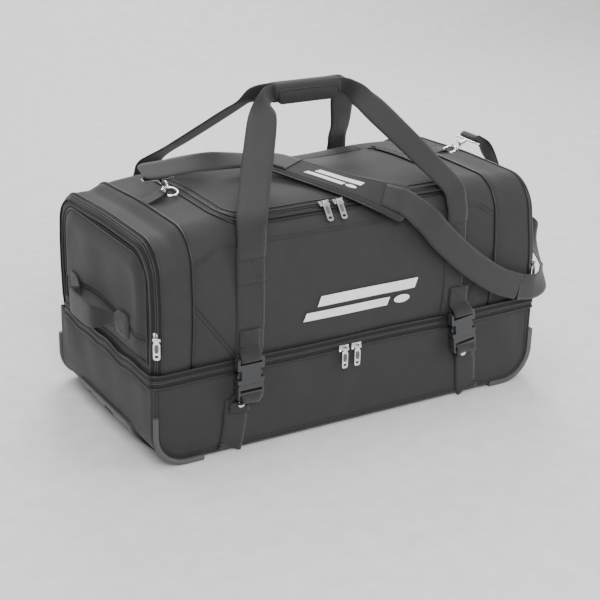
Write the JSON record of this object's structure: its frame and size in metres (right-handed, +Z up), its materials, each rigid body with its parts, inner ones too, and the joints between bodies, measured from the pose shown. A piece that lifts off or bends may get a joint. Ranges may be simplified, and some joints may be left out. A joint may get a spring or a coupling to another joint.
{
  "type": "wheeled hockey equipment bag",
  "caption": "Wheeled drop-bottom hockey equipment bag with a zipped lower tub, a zipped upper bag, end pockets, carry handles, a padded shoulder strap and a telescopic pull handle.",
  "frame": {"origin": "on the floor, at the middle of the bag body, on the middle floor rail", "axes": "+X from the pull-handle end to the wheel end, -Y the front, +Z up"},
  "size_m": [0.8371, 0.4048, 0.544],
  "materials": {
    "fabric": "woven polyester, matt",
    "padding": "padded woven polyester",
    "webbing": "ribbed woven webbing",
    "zip_tape": "coil zip on woven tape",
    "piping": "satin",
    "grey_plastic": "fine moulded grain",
    "black_plastic": "moulded, satin",
    "buckle_plastic": "moulded, semi-gloss",
    "bright_metal": "nickel plated",
    "steel": "turned steel",
    "tube_metal": "drawn aluminium",
    "hub_plastic": "moulded",
    "tyre": "moulded polyurethane"
  },
  "bodies": {
    "tub": {"lower_shell": "fabric", "base_board": "black_plastic", "base_skids": "black_plastic", "lower_zip_tape": "zip_tape", "corner_guards": "grey_plastic", "wheel_housings": "grey_plastic", "wheel_axles": "steel", "pull_bezel": "grey_plastic", "tube_sleeves": "black_plastic", "lower_webbing": "webbing", "strap_rivets": "bright_metal", "buckle_males": "buckle_plastic", "buckle_arms": "buckle_plastic"},
    "lower_slider_l": {"lower_slider_left": "bright_metal"},
    "lower_slider_r": {"lower_slider_right": "bright_metal"},
    "lower_pull_l": {"lower_pull_left": "bright_metal"},
    "lower_pull_r": {"lower_pull_right": "bright_metal"},
    "wheel_front": {"tyre_front": "tyre", "hub_front": "hub_plastic", "bearings_front": "steel"},
    "wheel_rear": {"tyre_rear": "tyre", "hub_rear": "hub_plastic", "bearings_rear": "steel"},
    "stage1": {"stage1_tubes": "tube_metal"},
    "stage2": {"stage2_tubes": "tube_metal", "pull_grip": "grey_plastic"},
    "button": {"pull_button": "black_plastic"},
    "upper": {"upper_shell": "fabric", "divider_floor": "fabric", "left_pocket": "fabric", "right_pocket": "fabric", "piping_rings": "piping", "upper_zip_tape": "zip_tape", "main_zip_tape": "zip_tape", "body_webbing": "webbing", "buckle_females": "buckle_plastic", "ring_tabs": "webbing", "d_rings": "bright_metal", "strap_left": "webbing", "strap_right": "webbing", "snap_hooks": "bright_metal"},
    "lid": {"lid_panel": "fabric", "strap_pad": "padding"},
    "top_slider_l": {"top_slider_left": "bright_metal"},
    "top_slider_r": {"top_slider_right": "bright_metal"},
    "top_pull_l": {"top_pull_left": "bright_metal"},
    "top_pull_r": {"top_pull_right": "bright_metal"},
    "pocket_slider_l": {"pocket_slider_left": "bright_metal"},
    "pocket_slider_r": {"pocket_slider_right": "bright_metal"},
    "pocket_pull_l": {"pocket_pull_left": "bright_metal"},
    "pocket_pull_r": {"pocket_pull_right": "bright_metal"},
    "front_handle": {"front_handle": "webbing", "handle_wrap": "padding"},
    "rear_handle": {"rear_handle": "webbing"},
    "left_flap": {"left_flap": "fabric", "left_grab_tabs": "webbing"},
    "right_flap": {"right_flap": "fabric", "right_grab_tabs": "webbing"},
    "left_grab": {"left_grab_handle": "webbing"},
    "right_grab": {"right_grab_handle": "webbing"}
  },
  "joints": [
    {"name": "upper_fold", "type": "hinge", "parent": "tub", "child": "upper", "pos_m": [0, 0.186, 0.148], "axis": [1, 0, 0], "range_deg": [-105, 0], "deforming": ["buckle_arms"]},
    {"name": "lid_hinge", "type": "hinge", "parent": "upper", "child": "lid", "pos_m": [0, 0.104, 0.384], "axis": [1, 0, 0], "range_deg": [-95, 0], "deforming": ["strap_left", "strap_right", "handle_wrap"]},
    {"name": "front_handle_fold", "type": "hinge", "parent": "upper", "child": "front_handle", "pos_m": [0, -0.1896, 0.344], "axis": [1, 0, 0], "range_deg": [0, 185]},
    {"name": "rear_handle_fold", "type": "hinge", "parent": "upper", "child": "rear_handle", "pos_m": [0, 0.1896, 0.344], "axis": [1, 0, 0], "range_deg": [-50, 0]},
    {"name": "wheel_front_spin", "type": "hinge", "parent": "tub", "child": "wheel_front", "pos_m": [0.34, -0.162, 0.037], "axis": [0, 1, 0], "continuous": true},
    {"name": "wheel_rear_spin", "type": "hinge", "parent": "tub", "child": "wheel_rear", "pos_m": [0.34, 0.162, 0.037], "axis": [0, 1, 0], "continuous": true},
    {"name": "stage1_slide", "type": "slide", "parent": "tub", "child": "stage1", "axis": [-1, 0, 0], "range_m": [0, 0.36]},
    {"name": "stage2_slide", "type": "slide", "parent": "stage1", "child": "stage2", "axis": [-1, 0, 0], "range_m": [0, 0.36]},
    {"name": "button_press", "type": "slide", "parent": "stage2", "child": "button", "axis": [1, 0, 0], "range_m": [0, 0.002], "stiffness_N_per_m": 800},
    {"name": "lower_zip_l", "type": "slide", "parent": "tub", "child": "lower_slider_l", "axis": [-1, 0, 0], "range_m": [0, 0.14]},
    {"name": "lower_pull_l_swing", "type": "hinge", "parent": "lower_slider_l", "child": "lower_pull_l", "pos_m": [-0.028, -0.1964, 0.141], "axis": [1, 0, 0], "range_deg": [-160, 0]},
    {"name": "top_zip_l", "type": "slide", "parent": "lid", "child": "top_slider_l", "axis": [-1, 0, 0], "range_m": [0, 0.1]},
    {"name": "top_pull_l_swing", "type": "hinge", "parent": "top_slider_l", "child": "top_pull_l", "pos_m": [-0.054, -0.16049, 0.3871], "axis": [1, 0, 0], "range_deg": [-150, 0]},
    {"name": "pocket_zip_l", "type": "slide", "parent": "upper", "child": "pocket_slider_l", "axis": [0, 0, 1], "range_m": [0, 0.09]},
    {"name": "pocket_pull_l_swing", "type": "hinge", "parent": "pocket_slider_l", "child": "pocket_pull_l", "pos_m": [-0.36306, -0.18935, 0.222], "axis": [0.8387, -0.5446, 0], "range_deg": [-150, 0]},
    {"name": "lower_zip_r", "type": "slide", "parent": "tub", "child": "lower_slider_r", "axis": [1, 0, 0], "range_m": [0, 0.14]},
    {"name": "lower_pull_r_swing", "type": "hinge", "parent": "lower_slider_r", "child": "lower_pull_r", "pos_m": [-0.004, -0.1964, 0.141], "axis": [1, 0, 0], "range_deg": [-160, 0]},
    {"name": "top_zip_r", "type": "slide", "parent": "lid", "child": "top_slider_r", "axis": [1, 0, 0], "range_m": [0, 0.1], "deforming": ["strap_pad"]},
    {"name": "top_pull_r_swing", "type": "hinge", "parent": "top_slider_r", "child": "top_pull_r", "pos_m": [-0.028, -0.16049, 0.3871], "axis": [1, 0, 0], "range_deg": [-150, 0]},
    {"name": "pocket_zip_r", "type": "slide", "parent": "upper", "child": "pocket_slider_r", "axis": [0, 0, 1], "range_m": [0, 0.09]},
    {"name": "pocket_pull_r_swing", "type": "hinge", "parent": "pocket_slider_r", "child": "pocket_pull_r", "pos_m": [0.36306, -0.18935, 0.222], "axis": [0.8387, 0.5446, 0], "range_deg": [-150, 0]},
    {"name": "left_flap_hinge", "type": "hinge", "parent": "upper", "child": "left_flap", "pos_m": [-0.376, 0, 0.165], "axis": [0, 1, 0], "range_deg": [-80, 0]},
    {"name": "right_flap_hinge", "type": "hinge", "parent": "upper", "child": "right_flap", "pos_m": [0.376, 0, 0.165], "axis": [0, 1, 0], "range_deg": [0, 45]},
    {"name": "left_grab_swing", "type": "hinge", "parent": "left_flap", "child": "left_grab", "pos_m": [-0.3796, 0, 0.215], "axis": [0, 1, 0], "range_deg": [-25, 25]},
    {"name": "right_grab_swing", "type": "hinge", "parent": "right_flap", "child": "right_grab", "pos_m": [0.3796, 0, 0.215], "axis": [0, 1, 0], "range_deg": [-25, 25]}
  ],
  "couplings": [
    {"joint": "front_handle_fold", "follows": "lid_hinge", "ratio": -1.9421},
    {"joint": "rear_handle_fold", "follows": "lid_hinge", "ratio": 0.5253}
  ]
}
